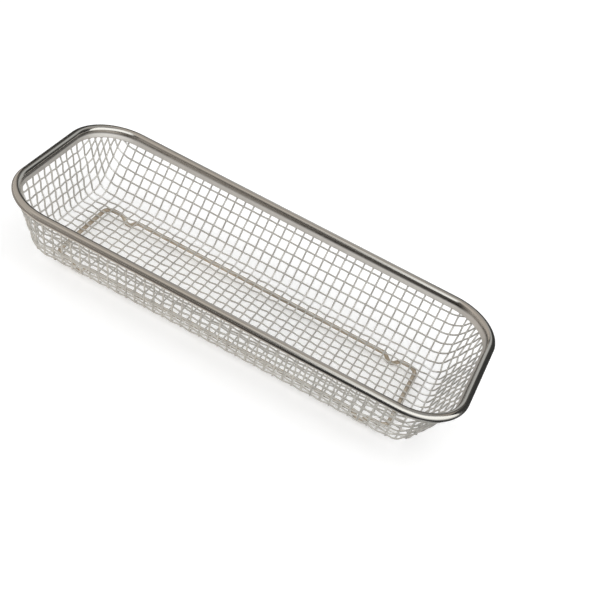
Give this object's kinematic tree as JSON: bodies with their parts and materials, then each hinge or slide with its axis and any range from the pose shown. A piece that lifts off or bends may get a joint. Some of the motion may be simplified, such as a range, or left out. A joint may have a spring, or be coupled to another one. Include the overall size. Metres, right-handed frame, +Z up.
{
  "type": "mesh drying basket",
  "caption": "Long shallow basket of woven steel wire with drafted walls, round corners, a rolled rim over a core wire and a bent rod frame with feet, for draining and drying.",
  "frame": {"origin": "middle of the basket in plan, on the plane that the four feet stand on", "axes": "+X along the basket, +Y across it, +Z up out of its open top"},
  "size_m": [0.2794, 0.1218, 0.0455],
  "materials": {
    "mesh_wire": "drawn bright wire",
    "rim_steel": "polished",
    "core_wire": "drawn wire",
    "frame_rod": "drawn rod, warm tint"
  },
  "bodies": {
    "root": {"cross_wire_left_01": "mesh_wire", "cross_wire_left_02": "mesh_wire", "cross_wire_left_03": "mesh_wire", "cross_wire_left_04": "mesh_wire", "cross_wire_left_05": "mesh_wire", "cross_wire_left_06": "mesh_wire", "cross_wire_left_07": "mesh_wire", "cross_wire_left_08": "mesh_wire", "cross_wire_left_09": "mesh_wire", "cross_wire_left_10": "mesh_wire", "cross_wire_left_11": "mesh_wire", "cross_wire_left_12": "mesh_wire", "cross_wire_left_13": "mesh_wire", "cross_wire_left_14": "mesh_wire", "cross_wire_left_15": "mesh_wire", "cross_wire_left_16": "mesh_wire", "cross_wire_left_17": "mesh_wire", "cross_wire_left_18": "mesh_wire", "cross_wire_left_19": "mesh_wire", "cross_wire_left_20": "mesh_wire", "cross_wire_right_01": "mesh_wire", "cross_wire_right_02": "mesh_wire", "cross_wire_right_03": "mesh_wire", "cross_wire_right_04": "mesh_wire", "cross_wire_right_05": "mesh_wire", "cross_wire_right_06": "mesh_wire", "cross_wire_right_07": "mesh_wire", "cross_wire_right_08": "mesh_wire", "cross_wire_right_09": "mesh_wire", "cross_wire_right_10": "mesh_wire", "cross_wire_right_11": "mesh_wire", "cross_wire_right_12": "mesh_wire", "cross_wire_right_13": "mesh_wire", "cross_wire_right_14": "mesh_wire", "cross_wire_right_15": "mesh_wire", "cross_wire_right_16": "mesh_wire", "cross_wire_right_17": "mesh_wire", "cross_wire_right_18": "mesh_wire", "cross_wire_right_19": "mesh_wire", "cross_wire_right_20": "mesh_wire", "long_wire_front_01": "mesh_wire", "long_wire_front_02": "mesh_wire", "long_wire_front_03": "mesh_wire", "long_wire_front_04": "mesh_wire", "long_wire_front_05": "mesh_wire", "long_wire_front_06": "mesh_wire", "long_wire_back_01": "mesh_wire", "long_wire_back_02": "mesh_wire", "long_wire_back_03": "mesh_wire", "long_wire_back_04": "mesh_wire", "long_wire_back_05": "mesh_wire", "long_wire_back_06": "mesh_wire", "left_wall_rows": "mesh_wire", "right_wall_rows": "mesh_wire", "front_wall_rows": "mesh_wire", "back_wall_rows": "mesh_wire", "rim_band": "rim_steel", "rim_core_wire": "core_wire", "foot_frame": "frame_rod"}
  },
  "joints": []
}
